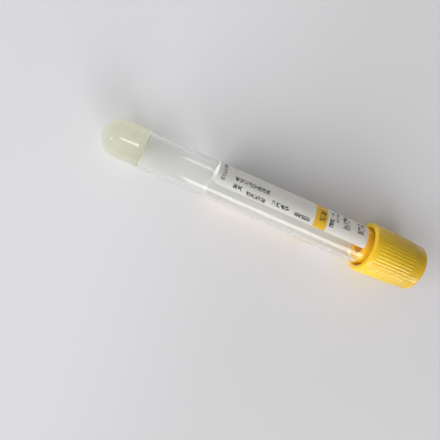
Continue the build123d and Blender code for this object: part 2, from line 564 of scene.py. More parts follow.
@dataclass(frozen=True)
class PrintedPaper(Finish):
    """Coated label paper with a yellow band across it and a yellow stripe on its far edge."""

    name: ClassVar[str] = "printed_paper"
    paper: Colour = (0.86, 0.845, 0.79)
    shade: Colour = (0.81, 0.795, 0.735)
    back_white: Colour = (0.93, 0.92, 0.895)
    yellow: Colour = (0.93, 0.50, 0.02)
    band: tuple[float, float] = (70.2, 74.5)  # stations
    stripe: tuple[float, float] = (252.0, 266.0)  # degrees from the near edge
    stripe_start: float = 30.0  # station short of the label, from which the stripe may run
    near_edge: float = -10.0
    edge: float = 0.12  # softness of a printed edge
    stripe_edge: float = 1.0  # softness of the stripe's edges, in degrees
    back: float = 5.998  # radius of a surface just over the label's back, at the round end's tip
    draft: float = 0.00425  # growth of that radius along the tube
    glow: float = 0.4  # share of light that goes into the sheet
    depth: float = 0.5  # that it spreads, in millimetres
    spread: Colour = (1.0, 0.95, 0.88)  # shares of that depth
    roughness: tuple[float, float] = (0.46, 0.38)  # of bare paper and of a printed field
    thin_print: float = 0.94  # strength of the yellow where it is printed thinnest
    fibre_shade: float = 0.35  # strength of the shade between fibres
    fibre_depth: float = 0.012
    wave_depth: float = 0.05

    def shader(self, paint: Paint) -> Socket:
        """Draws paper with fields of colour on its front.

        Args:
            paint: the material.

        Returns:
            The shader.
        """
        fibre = paint.streaks(0.5, 1.0, scale=7.0, detail=3.0)
        blotch = paint.noise(0.25)
        wavering = paint.maths("MULTIPLY_ADD", paint.noise(3.0), self.edge, paint.station)
        band = paint.within(wavering, *self.band, self.edge)
        beyond = paint.within(paint.station, self.stripe_start, self.band[0], self.edge)
        angle = paint.angle(self.near_edge)
        edge_stripe = paint.within(angle, *self.stripe, self.stripe_edge)
        stripe = paint.maths("MULTIPLY", edge_stripe, beyond)
        front = paint.outside(self.back, self.draft)
        printed = paint.maths("MULTIPLY", paint.maths("MAXIMUM", band, stripe), front)
        pressed = paint.span(paint.noise(5.0, 3.0), 0.2, 0.75, self.thin_print, 1.0)
        white = paint.blend(paint.span(blotch, *CLOUD), self.shade, self.paper)
        fibrous = paint.span(fibre, 0.25, 0.75, 0.0, self.fibre_shade)
        soft = paint.blend(fibrous, white, self.shade)
        face = paint.blend(front, self.back_white, soft)
        return paint.surface({
            "Base Color": paint.blend(paint.maths("MULTIPLY", printed, pressed), face, self.yellow),
            "Roughness": paint.span(printed, 0.0, 1.0, *self.roughness),
            "Normal": paint.bump(fibre, self.fibre_depth, paint.bump(blotch, self.wave_depth)),
            **glowing(self.glow, self.depth, self.spread),
        })


@dataclass(frozen=True)
class ThermalInk(Finish):
    """Dark print with a slightly uneven density."""

    name: ClassVar[str] = "thermal_ink"
    dark: Colour = (0.012, 0.012, 0.013)
    faded: Colour = (0.03, 0.03, 0.032)
    roughness: tuple[float, float] = (0.4, 0.6)  # of dark and of faded print

    def shader(self, paint: Paint) -> Socket:
        """Draws the ink.

        Args:
            paint: the material.

        Returns:
            The shader.
        """
        density = paint.span(paint.noise(2.5, 3.0), 0.35, 0.7)
        return paint.surface({
            "Base Color": paint.blend(density, self.dark, self.faded),
            "Roughness": paint.span(density, 0.0, 1.0, *self.roughness),
            "Normal": paint.bump(paint.noise(12.0), depth=0.004),
        })


@dataclass(frozen=True)
class YellowPolyethylene(Finish):
    """Waxy yellow moulded cap: orange peel, faint flow streaks, light scuffs, and painted shade and
    glow.
    """

    name: ClassVar[str] = "yellow_polyethylene"
    deep: Colour = (0.94, 0.575, 0.008)
    light: Colour = (0.98, 0.69, 0.02)
    scuffed: Colour = (0.98, 0.77, 0.12)
    scuffing: float = 0.2  # strength of that colour on a scuff
    # painted shade: the colour the cap takes towards its top, where less light reaches
    shaded: Colour = (0.64, 0.40, 0.003)
    inside: Colour = (1.0, 0.56, 0.02)  # painted glow: brighter orange for light through the thin wall, on the faces turned to the tube, clean of scuffs
    middle: float = 7.6  # radius between those faces and the outer ones
    lip: tuple[float, float] = (92.0, 94.2)  # stations between which the painted glow on the lip fades out
    lip_glow_share: float = 0.55  # of the painted glow's colour, on the lip
    top_shade_stations: tuple[float, float] = (91.0, 106.0)  # stations between which the painted shade grows
    top_shade_share: float = 0.7  # of the shaded colour at the top: painted shade
    scuff_depth: float = 0.004
    peel_depth: float = 0.006
    glow: float = 1.0  # share of light that goes into the plastic
    depth: float = 2.4  # that it goes, in millimetres
    spread: Colour = (1.0, 0.62, 0.15)  # shares of that depth
    skin: float = 0.5  # strength of the shine of the moulded skin
    roughness: tuple[float, float] = (0.38, 0.48)  # smoothest and roughest, under the skin

    def shader(self, paint: Paint) -> Socket:
        """Draws the cap's plastic.

        Args:
            paint: the material.

        Returns:
            The shader.
        """
        flow = paint.streaks(0.06, 0.35, scale=1.0, detail=3.0)
        peel = paint.noise(3.2)
        scuffs = paint.span(paint.streaks(1.6, 0.5, scale=1.0, detail=4.0), 0.62, 0.78)
        body = paint.blend(paint.span(flow, 0.25, 0.75), self.deep, self.light)
        # Painted shade: darker towards the top.
        top_shade = paint.span(paint.station, *self.top_shade_stations, 0.0, self.top_shade_share)
        body = paint.blend(top_shade, body, self.shaded)
        body = paint.blend(paint.maths("MULTIPLY", scuffs, self.scuffing), body, self.scuffed)
        # Painted glow: the lip and the faces turned to the tube take the brighter orange.
        lip_glow = paint.span(paint.station, *self.lip, self.lip_glow_share, 0.0)
        body = paint.blend(lip_glow, body, self.inside)
        outer = paint.outside(self.middle, 0.0)
        return paint.surface({
            "Base Color": paint.blend(outer, self.inside, body),
            "Roughness": paint.span(paint.noise(0.6, 3.0), 0.3, 0.75, *self.roughness),
            "IOR": 1.56,
            "Coat Weight": self.skin,
            "Coat Roughness": 0.17,
            "Coat IOR": 1.5,
            **glowing(self.glow, self.depth, self.spread),
            "Normal": paint.bump(scuffs, self.scuff_depth, paint.bump(peel, self.peel_depth)),
        })


@dataclass(frozen=True)
class OrangeRubber(Finish):
    """Butyl rubber of the stopper: matt, mottled, with a dusting of talc."""

    name: ClassVar[str] = "orange_rubber"
    deep: Colour = (0.92, 0.49, 0.012)
    light: Colour = (0.97, 0.58, 0.024)
    talc: Colour = (0.92, 0.62, 0.10)
    dusting: float = 0.35  # strength of the talc where it is thickest
    glow: float = 0.8  # share of light that goes into the rubber
    depth: float = 2.0  # that it goes, in millimetres
    spread: Colour = (1.0, 0.5, 0.12)  # shares of that depth
    roughness: tuple[float, float] = (0.5, 0.68)  # smoothest and roughest

    def shader(self, paint: Paint) -> Socket:
        """Draws the rubber.

        Args:
            paint: the material.

        Returns:
            The shader.
        """
        mottle = paint.noise(1.4, 4.0)
        dust = paint.span(paint.noise(4.0, 3.0), 0.58, 0.75, 0.0, self.dusting)
        body = paint.blend(paint.span(mottle, *CLOUD), self.deep, self.light)
        return paint.surface({
            "Base Color": paint.blend(dust, body, self.talc),
            "Roughness": paint.span(mottle, *CLOUD, *self.roughness),
            **glowing(self.glow, self.depth, self.spread),
            "Normal": paint.bump(paint.noise(6.0, 3.0), depth=0.02),
        })


@dataclass(frozen=True)
class PaleTable(Finish):
    """Plain pale laminate with faint clouds, and painted light: lighter towards the round end,
    darker towards the cap.
    """

    name: ClassVar[str] = "pale_table"
    pale: Colour = (0.93, 0.918, 0.945)
    dim: Colour = (0.79, 0.78, 0.795)
    worn: tuple[float, float] = (0.0, 75.0)  # stations between which the painted light fades
    pale_share: float = 0.7  # share of the pale colour from painted light, before it fades
    cloudy: float = 0.3  # share of the pale colour that comes and goes in clouds
    roughness: tuple[float, float] = (0.5, 0.6)  # smoothest and roughest

    def shader(self, paint: Paint) -> Socket:
        """Draws the laminate.

        Args:
            paint: the material.

        Returns:
            The shader.
        """
        cloud = paint.span(paint.noise(0.004, 3.0), *CLOUD, 0.0, self.cloudy)
        # Painted light: lighter towards the round end, fading towards the cap.
        pale_share = paint.maths("ADD", cloud, paint.span(paint.station, *self.worn, self.pale_share, 0.0))
        grain = paint.noise(1.5)
        return paint.surface({
            "Base Color": paint.blend(pale_share, self.dim, self.pale),
            "Roughness": paint.span(grain, *CLOUD, *self.roughness),
            "Normal": paint.bump(grain, depth=0.006),
        })


# --- Repeated shapes ---

SHELL_PLAY = 0.02  # millimetres that a corner may lie under the outside and still be raised
DOT_LENGTHS = (0.8, 1.25)  # shortest and longest dot of ink, in columns of its cell
DOT_HEIGHT = 0.92  # of a dot, in rows of its cell
DOT_CORNERS = (
    (0.5, 0.3), (0.3, 0.5), (-0.3, 0.5), (-0.5, 0.3),
    (-0.5, -0.3), (-0.3, -0.5), (0.3, -0.5), (0.5, -0.3),
)  # of a dot one by one in size


class ShapeTree(Wiring):
    """A Geometry Nodes tree that repeats an object's mesh or shapes it."""

    def __init__(self, name: str, numbers: Iterable[str], counts: Iterable[str]) -> None:
        """Starts a tree.

        Args:
            name: the tree's name.
            numbers: names of its inputs that are lengths, shares and angles.
            counts: names of its inputs that are whole numbers.
        """
        tree = bpy.data.node_groups.new(name, "GeometryNodeTree")
        tree.is_modifier = True
        super().__init__(tree)
        inputs = [("Geometry", "NodeSocketGeometry"), *((n, "NodeSocketFloat") for n in numbers)]
        inputs += [*((n, "NodeSocketInt") for n in counts), ("Finish", "NodeSocketMaterial")]
        for label, kind in inputs:
            tree.interface.new_socket(label, in_out="INPUT", socket_type=kind)
        tree.interface.new_socket("Geometry", in_out="OUTPUT", socket_type="NodeSocketGeometry")
        self.given = self.node("NodeGroupInput").outputs

    def ending(self, shape: Socket) -> None:
        """Ends the tree with a shape, realized and with its finish.

        Args:
            shape: the shape or its instances.
        """
        real = self.out("GeometryNodeRealizeInstances", {0: shape})
        feeds = {"Geometry": real, "Material": self.given["Finish"]}
        self.node("NodeGroupOutput", {0: self.out("GeometryNodeSetMaterial", feeds)})

    def run(self, mesh: Mesh, values: dict[str, object]) -> Mesh:
        """Plain mesh that the tree makes of a mesh.

        Args:
            mesh: the mesh to repeat or shape. It is removed.
            values: the tree's inputs by name.

        Returns:
            The new mesh.
        """
        carrier = linked(self.tree.name, mesh)
        modifier = carrier.modifiers.new(self.tree.name, "NODES")
        modifier.node_group = self.tree
        for item in self.tree.interface.items_tree:
            if item.in_out == "INPUT" and item.name in values:
                modifier[item.identifier] = values[item.name]
        graph = bpy.context.evaluated_depsgraph_get()
        made = bpy.data.meshes.new_from_object(carrier.evaluated_get(graph))
        bpy.data.objects.remove(carrier)
        bpy.data.meshes.remove(mesh)
        return made


def grip_rib_tree() -> ShapeTree:
    """Tree that raises rounded ribs along a turned shell, in millimetres about the tube's axis.

    Returns:
        The tree, whose ribs are highest on the first station and run out at the last.
    """
    numbers = ("Height", "Groove", "First Station", "Last Station", "Run Out", "Radius", "Growth")
    tree = ShapeTree("grip_ribs", numbers, ("Ribs",))
    given, maths = tree.given, tree.maths
    spot = tree.out("GeometryNodeInputPosition", {})
    station, side, up = tree.node("ShaderNodeSeparateXYZ", {0: spot}).outputs
    radius = maths("SQRT", maths("MULTIPLY_ADD", up, up, maths("MULTIPLY", side, side)))
    wave = maths("COSINE", maths("MULTIPLY", maths("ARCTAN2", side, up), given["Ribs"]))
    sunk = maths("MULTIPLY", maths("MULTIPLY_ADD", wave, -0.5, 0.5), given["Groove"])
    crest = maths("SUBTRACT", given["Height"], sunk)
    left = maths("DIVIDE", maths("SUBTRACT", given["Last Station"], station), given["Run Out"])
    left = maths("MINIMUM", maths("MAXIMUM", left, 0.0), 1.0)
    ease = maths("SINE", maths("MULTIPLY", left, math.pi / 2))
    past = maths("SUBTRACT", station, given["First Station"])
    between = maths("MULTIPLY_ADD", past, given["Growth"], given["Radius"])
    raised = maths("MAXIMUM", radius, maths("ADD", between, maths("MULTIPLY", crest, ease)))
    scale = maths("DIVIDE", raised, radius)
    on_outside = maths("GREATER_THAN", radius, maths("SUBTRACT", between, SHELL_PLAY))
    chosen = maths("MULTIPLY", on_outside, maths("GREATER_THAN", past, 0.0))
    moved = tree.vector(station, maths("MULTIPLY", side, scale), maths("MULTIPLY", up, scale))
    feeds = {"Geometry": given["Geometry"], "Selection": chosen, "Position": moved}
    tree.ending(tree.out("GeometryNodeSetPosition", feeds))
    return tree


def print_run_tree() -> ShapeTree:
    """Tree that prints a run of blocks of dots on the label, in millimetres about the tube's axis.

    Returns:
        The tree, which leaves out some dots and varies the length of the rest.
    """
    numbers = (
        "Station", "Angle", "Turn", "Pitch", "Cell Length", "Cell Height", "Ink", "Radius", "Draft",
    )
    tree = ShapeTree("print_run", numbers, ("Cells", "Dots Long", "Dots High", "Seed"))
    given, maths = tree.given, tree.maths
    per_cell = maths("MULTIPLY", given["Dots Long"], given["Dots High"])
    count = maths("MULTIPLY", given["Cells"], per_cell)
    points = tree.out("GeometryNodePoints", {"Count": count})
    index = tree.out("GeometryNodeInputIndex", {})
    cell = maths("FLOOR", maths("DIVIDE", index, per_cell))
    in_cell = maths("FLOORED_MODULO", index, per_cell)
    column = maths("FLOORED_MODULO", in_cell, given["Dots Long"])
    row = maths("FLOOR", maths("DIVIDE", in_cell, given["Dots Long"]))
    dot_length = maths("DIVIDE", given["Cell Length"], given["Dots Long"])
    dot_height = maths("DIVIDE", given["Cell Height"], given["Dots High"])
    run = maths("MULTIPLY", maths("ADD", column, 0.5), dot_length)
    run = maths("MULTIPLY_ADD", cell, given["Pitch"], run)
    rise = maths("MULTIPLY", maths("ADD", row, 0.5), dot_height)
    rise = maths("MULTIPLY_ADD", given["Cell Height"], -0.5, rise)
    cosine, sine = maths("COSINE", given["Turn"]), maths("SINE", given["Turn"])
    along = maths("SUBTRACT", maths("MULTIPLY", run, cosine), maths("MULTIPLY", rise, sine))
    across = maths("ADD", maths("MULTIPLY", run, sine), maths("MULTIPLY", rise, cosine))
    radius = maths("MULTIPLY_ADD", along, given["Draft"], given["Radius"])
    angle = maths("SUBTRACT", given["Angle"], maths("DIVIDE", across, given["Radius"]))
    side = maths("MULTIPLY", radius, maths("SINE", angle))
    up = maths("MULTIPLY", radius, maths("COSINE", angle))
    spot = tree.vector(maths("ADD", given["Station"], along), side, up)
    placed = tree.out("GeometryNodeSetPosition", {"Geometry": points, "Position": spot})
    feeds = {"Probability": maths("SUBTRACT", 1.0, given["Ink"]), "Seed": given["Seed"]}
    blank = tree.node("FunctionNodeRandomValue", feeds, data_type="BOOLEAN").outputs[3]
    inked = tree.out("GeometryNodeDeleteGeometry", {"Geometry": placed, "Selection": blank})
    feeds = {2: DOT_LENGTHS[0], 3: DOT_LENGTHS[1], "Seed": maths("ADD", given["Seed"], 1)}
    spread = tree.node("FunctionNodeRandomValue", feeds, data_type="FLOAT").outputs[1]
    long, high = maths("MULTIPLY", dot_length, spread), maths("MULTIPLY", dot_height, DOT_HEIGHT)
    on_x = maths("ADD", maths("MULTIPLY", long, cosine), maths("MULTIPLY", high, sine))
    on_y = maths("ADD", maths("MULTIPLY", long, sine), maths("MULTIPLY", high, cosine))
    rotation = tree.vector(maths("MULTIPLY", angle, -1.0), 0.0, 0.0)
    facing = tree.out("FunctionNodeEulerToRotation", {0: rotation})
    size = tree.vector(on_x, on_y, 1.0)
    feeds = {"Points": inked, "Instance": given["Geometry"], "Rotation": facing, "Scale": size}
    tree.ending(tree.out("GeometryNodeInstanceOnPoints", feeds))
    return tree


# --- Sub-assemblies ---


def settle(piece: Piece, body: Body, slot: Slot, node: str | None = None) -> None:
    """Rides a piece on its body and hides the CAD node that it stands for.

    Args:
        piece: the finished piece.
        body: the body it rides on.
        slot: its material slot; not used.
        node: the CAD node, if it stands for one.
    """
    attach(piece, body.value)
    if node:
        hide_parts(node)


def dressed(name: str, mesh: Mesh, material: Material, axis: RestingAxis) -> Piece:
    """Object at the origin for a mesh that goes to its place, smooth but for its sharp folds.

    Args:
        name: the object's name.
        mesh: the mesh, as (station, side, up) in millimetres.
        material: its only material.
        axis: the tube's axis.

    Returns:
        The object.
    """
    mesh.transform(axis.matrix)
    mesh.materials.clear()
    mesh.materials.append(material)
    mesh.polygons.foreach_set("use_smooth", [True] * len(mesh.polygons))
    mesh.set_sharp_from_angle(angle=SHARP_ANGLE)
    log.info("%s: %d faces", name, len(mesh.polygons))
    return linked(name, mesh)


class TurnedPiece:
    """A piece of one finish that its outline makes when it turns about the axis."""

    name: ClassVar[str]
    body: ClassVar[Body]
    slot: ClassVar[Slot]
    node: ClassVar[str]  # CAD node that it stands for
    finish: Finish

    def outline(self) -> list[Point]:
        """Its outline, in millimetres."""
        raise NotImplementedError

    def shape(self, material: Material) -> Mesh:
        """Its mesh, which needs no material yet if it is only turned."""
        return turned(self.name, self.outline())

    def build(self, axis: RestingAxis) -> None:
        """Builds the piece.

        Args:
            axis: the tube's axis.
        """
        material = self.finish.material(axis)
        piece = dressed(self.name, self.shape(material), material, axis)
        settle(piece, self.body, self.slot, self.node)


@dataclass(frozen=True)
class Barrel(TurnedPiece):
    """The clear tube: a drafted wall, a round closed end with its gate mark, and a rounded rim."""

    name: ClassVar[str] = "tube_barrel"
    body: ClassVar[Body] = Body.TUBE
    slot: ClassVar[Slot] = Slot.CLEAR
    node: ClassVar[str] = "tube"
    length: float = 100.0
    rim_radius: float = 6.4
    taper: float = 0.4
    wall: float = 1.0
    rim_round: float = 0.3
    rim_steps: int = 6  # chords in a quarter of the rim
    end_steps: int = 28  # chords in the round end
    longest: float = 3.0  # length of one ring of faces
    gate_radius: float = 0.7
    gate_ring: float = 0.25
    gate_depth: float = 0.12
    gate_dish: tuple[Point, ...] = ((0.0, 0.4), (0.7, 0.45), (1.0, 1.0))  # shares of those two
    finish: ClearPolyester = ClearPolyester()

    @property
    def end_radius(self) -> float:
        """Outside radius of the round end."""
        return self.rim_radius - self.taper

    @property
    def draft(self) -> float:
        """Angle of the wall.

        Returns:
            The half angle of a cone that is tangent to the round end and meets the rim.
        """
        rise = self.length - self.end_radius
        whole = math.hypot(self.rim_radius, rise)
        return math.atan2(self.rim_radius, rise) - math.asin(self.end_radius / whole)

    def radius(self, station: float, inset: float = 0.0) -> float:
        """Outside radius at a station, or that of the surface that lies inset below it."""
        drafted = self.rim_radius - (self.length - station) * math.tan(self.draft)
        return drafted - inset / math.cos(self.draft)

    def end_arc(self, inset: float, start: float = -math.pi / 2) -> list[Point]:
        """Arc of the round end, inset below its outside, from the axis or an angle to the wall."""
        centre = (0.0, self.end_radius)
        return arc(centre, self.end_radius - inset, start, -self.draft, self.end_steps)

    def outline(self) -> list[Point]:
        """Outline of the whole wall.

        Returns:
            The points from the outside of the round end, over the rim, to its inside.
        """
        gate = [(self.gate_radius * out, self.gate_depth * up) for out, up in self.gate_dish]
        gate.append((self.gate_radius + self.gate_ring / 2, self.gate_depth))
        first = -math.acos((self.gate_radius + self.gate_ring) / self.end_radius)
        rim_round, steps = self.rim_round, self.rim_steps
        centre = self.length - rim_round
        outer = self.radius(centre)
        inner = outer - self.wall
        outside = subdivided([*self.end_arc(0.0, first), (outer, centre)], self.longest)
        rim = arc((outer - rim_round, centre), rim_round, 0.0, math.pi / 2, steps)
        rim += arc((inner + rim_round, centre), rim_round, math.pi / 2, math.pi, steps)
        inside = subdivided([*self.end_arc(self.wall), (inner, centre)], self.longest)[::-1]
        inside[-1] = (0.0, self.wall)
        return [*gate, *outside, *rim[1:], *inside[1:]]


@dataclass(frozen=True)
class GelPlug(TurnedPiece):
    """Separator gel that wets the round end and creeps up the wall round its flat top."""

    name: ClassVar[str] = "gel_plug"
    body: ClassVar[Body] = Body.TUBE
    slot: ClassVar[Slot] = Slot.GEL
    node: ClassVar[str] = "separator_gel"
    barrel: Barrel
    level: float = 13.2
    overlap: float = 0.05  # into the wall, so that no air shows between them
    meniscus: float = 1.1
    meniscus_steps: int = 8
    creep: float = math.radians(50)
    longest: float = 1.0  # length of one ring of faces
    finish: MilkyGel = MilkyGel()

    def outline(self) -> list[Point]:
        """Outline of the plug.

        Returns:
            The points from the tip, up the wall and over the meniscus to the axis.
        """
        inset = self.barrel.wall - self.overlap
        top = self.level + self.meniscus * (1 - math.cos(self.creep))
        wall_radius = self.barrel.radius(top, inset)
        flat = wall_radius - self.meniscus * math.sin(self.creep)
        lower = self.barrel.end_arc(inset)
        lower[0] = (0.0, lower[0][1])
        wall = subdivided([lower[-1], (wall_radius, top)], self.longest)
        centre, down = (flat, self.level + self.meniscus), -math.pi / 2
        curve = arc(centre, self.meniscus, self.creep + down, down, self.meniscus_steps)
        middle = subdivided([(flat, self.level), (0.0, self.level)], self.longest)
        return [*lower, *wall[1:-1], *curve, *middle[1:-1], (0.0, self.level)]


@dataclass(frozen=True)
class PrintRun:
    """One run of print: blocks of dots in cells."""

    reading: Reading
    station: float  # of the first cell's near side, or of the middle of a run that goes round
    angle: float  # degrees: of the middle of a run along the tube, or of a run's first cell
    cells: int
    pitch: float
    cell: tuple[float, float]  # length and height
    dots: tuple[int, int]  # in a cell, along its length and its height
    ink: float  # share of the dots that are printed


PRINT_RUNS = (
    PrintRun(Reading.ROUND, 38.55, 67, 6, 1.12, (0.95, 1.25), (3, 4), 0.64),
    PrintRun(Reading.ALONG, 41.3, 67, 1, 1.2, (1.1, 0.4), (4, 1), 0.6),
    PrintRun(Reading.ALONG, 42.3, 27, 8, 1.5, (1.25, 1.4), (4, 5), 0.58),
    PrintRun(Reading.ALONG, 42.3, 4.2, 2, 1.6, (1.35, 1.4), (4, 5), 0.6),
    PrintRun(Reading.ALONG, 46.8, -0.8, 8, 0.82, (0.68, 1.25), (3, 5), 0.78),
    PrintRun(Reading.ALONG, 55.4, 5.2, 4, 1.52, (1.3, 1.35), (4, 5), 0.6),
    PrintRun(Reading.ALONG, 63.3, 1.6, 7, 0.8, (0.66, 1.25), (3, 5), 0.8),
    PrintRun(Reading.ROUND, 72.7, 51, 2, 2.2, (2.0, 2.1), (6, 6), 0.56),
    PrintRun(Reading.ROUND, 76.0, 63, 2, 1.55, (1.3, 1.5), (4, 5), 0.38),
    PrintRun(Reading.ROUND, 76.0, 34, 2, 1.55, (1.35, 1.5), (4, 5), 0.72),
    PrintRun(Reading.ROUND, 78.0, 67, 4, 1.1, (0.9, 1.0), (3, 3), 0.6),
    PrintRun(Reading.ROUND, 81.25, 68, 4, 1.4, (1.15, 2.6), (3, 6), 0.72),
    PrintRun(Reading.ROUND, 86.6, 64, 3, 1.55, (1.25, 2.6), (3, 6), 0.74),
)


@dataclass(frozen=True)
class WrappedLabel:
    """Printed paper label wrapped about three quarters round the tube."""

    barrel: Barrel
    length: float = 52.7
    end: float = 89.2
    width: float = 29.8
    thickness: float = 0.08
    glue: float = 0.02
    sunk: float = 0.008  # into the wall, so that no air shows under it
    corner: float = 1.0
    corner_steps: int = 8
    near_edge: float = math.radians(-10)
    column: float = 0.4  # width of one column of faces
    rows: int = 40
    dot_embed: float = 0.01
    dot_rise: float = 0.012
    paper: PrintedPaper = PrintedPaper()
    ink: ThermalInk = ThermalInk()

    @property
    def start(self) -> float:
        """Station of the end towards the round end."""
        return self.end - self.length

    @property
    def top(self) -> float:
        """Height of the printed face over the wall."""
        return self.thickness + self.glue

    def _columns(self) -> list[Point]:
        """Places of the columns of vertices.

        Returns:
            Each column's distance from the near edge, and how far its ends stand back.
        """
        turns = [math.pi / 2 * step / self.corner_steps for step in range(self.corner_steps + 1)]
        corner = [(self.corner * (1 - math.cos(a)), self.corner * (1 - math.sin(a))) for a in turns]
        inner = self.width - 2 * self.corner
        count = math.ceil(inner / self.column)
        straight = [(self.corner + inner * index / count, 0.0) for index in range(1, count)]
        return [*corner, *straight, *((self.width - w, back) for w, back in reversed(corner))]

    def _face(self, bm: Build, lift: float) -> list[list[Vertex]]:
        """Makes the front or the back of the sheet.

        Args:
            bm: takes the vertices and the faces.
            lift: its height over the wall.

        Returns:
            The vertices, column by column.
        """
        radius = self.barrel.radius
        middle = radius((self.start + self.end) / 2)
        grid = []
        for distance, back in self._columns():
            angle = self.near_edge + distance / middle
            low, high = self.start + back, self.end - back
            stations = [low + (high - low) * row / self.rows for row in range(self.rows + 1)]
            grid.append([corner_at(bm, radius(s, -lift), s, angle) for s in stations])
        for left, right in zip(grid, grid[1:]):
            bridge(bm, left, right, closed=False)
        return grid

    def _sheet(self) -> Mesh:
        """Mesh of the wrapped sheet, closed on all sides.

        Returns:
            The mesh.
        """
        bm = bmesh.new()
        under, over = self._face(bm, -self.sunk), self._face(bm, self.top)
        rims = [([c[row] for c in under], [c[row] for c in over]) for row in (0, -1)]
        rims += [(under[0], over[0]), (under[-1], over[-1])]
        for low, high in rims:
            bridge(bm, low, high, closed=False)
        return mesh_from("wrapped_label", bm)

    def _dot(self) -> Mesh:
        """Unit dot of ink, to be scaled in its own plane.

        Returns:
            The mesh.
        """
        bm = bmesh.new()
        lower, upper = (
            [bm.verts.new((x, y, z)) for x, y in DOT_CORNERS]
            for z in (-self.dot_embed, self.dot_rise)
        )
        bridge(bm, lower, upper)
        bm.faces.new(lower)
        bm.faces.new(upper)
        return mesh_from("ink_dot", bm)

    def _print(self, ink: Material) -> Mesh:
        """Mesh of all the print.

        Args:
            ink: the print's material.

        Returns:
            The mesh.
        """
        tree = print_run_tree()
        bm = bmesh.new()
        for seed, run in enumerate(PRINT_RUNS):
            values = {
                "Station": run.station, "Angle": math.radians(run.angle), "Turn": run.reading.value,
                "Pitch": run.pitch, "Cell Length": run.cell[0], "Cell Height": run.cell[1],
                "Ink": run.ink, "Radius": self.barrel.radius(run.station, -self.top),
                "Draft": math.tan(self.barrel.draft), "Cells": run.cells,
                "Dots Long": run.dots[0], "Dots High": run.dots[1], "Seed": seed, "Finish": ink,
            }
            made = tree.run(self._dot(), values)
            bm.from_mesh(made)
            bpy.data.meshes.remove(made)
        return mesh_from("label_print", bm)

    def build(self, axis: RestingAxis) -> None:
        """Builds the label and its print.

        Args:
            axis: the tube's axis.
        """
        paper = dressed("wrapped_label", self._sheet(), self.paper.material(axis), axis)
        settle(paper, Body.TUBE, Slot.PAPER, "label")
        ink = self.ink.material(axis)
        marks = dressed("label_print", self._print(ink), ink, axis)
        settle(marks, Body.TUBE, Slot.PAPER)


@dataclass(frozen=True)
class Stopper(TurnedPiece):
    """Rubber stopper: plug in the bore, head on the rim, a well above and below its membrane."""

    name: ClassVar[str] = "rubber_stopper"
    body: ClassVar[Body] = Body.CLOSURE
    slot: ClassVar[Slot] = Slot.RUBBER
    node: ClassVar[str] = "stopper"
    barrel: Barrel
    plug: float = 10.0
    fit: float = 0.03
    nose_round: float = 0.8
    plug_well: float = 3.0
    head: float = 9.6
    overhang: float = 0.55
    head_well: float = 3.4
    head_draft: float = 0.4
    membrane: float = 3.6
    membrane_rise: float = 0.2
    well_round: float = 0.8
    edge_round: float = 0.25
    finish: OrangeRubber = OrangeRubber()

    @property
    def head_top(self) -> float:
        """Station of the head's top."""
        return self.barrel.length + self.head

    @property
    def head_radius(self) -> float:
        """Radius of the head on the rim."""
        return self.barrel.rim_radius + self.overhang

    def outline(self) -> list[Point]:
        """Outline of the rubber.

        Returns:
            The points from one well's floor to the other's.
        """
        barrel, low = self.barrel, self.barrel.length - self.plug
        inset = barrel.wall + self.fit
        floor = barrel.length + self.membrane_rise
        roof = floor + self.membrane
        return rounded([
            (0.0, floor, 0.0),
            (self.plug_well, floor, self.well_round),
            (self.plug_well, low, self.edge_round),
            (barrel.radius(low, inset), low, self.nose_round),
            (barrel.radius(barrel.length, inset), barrel.length, 0.0),
            (self.head_radius, barrel.length, self.edge_round),
            (self.head_radius - self.head_draft, self.head_top, self.edge_round),
            (self.head_well, self.head_top, self.edge_round),
            (self.head_well, roof, self.well_round),
            (0.0, roof, 0.0),
        ])


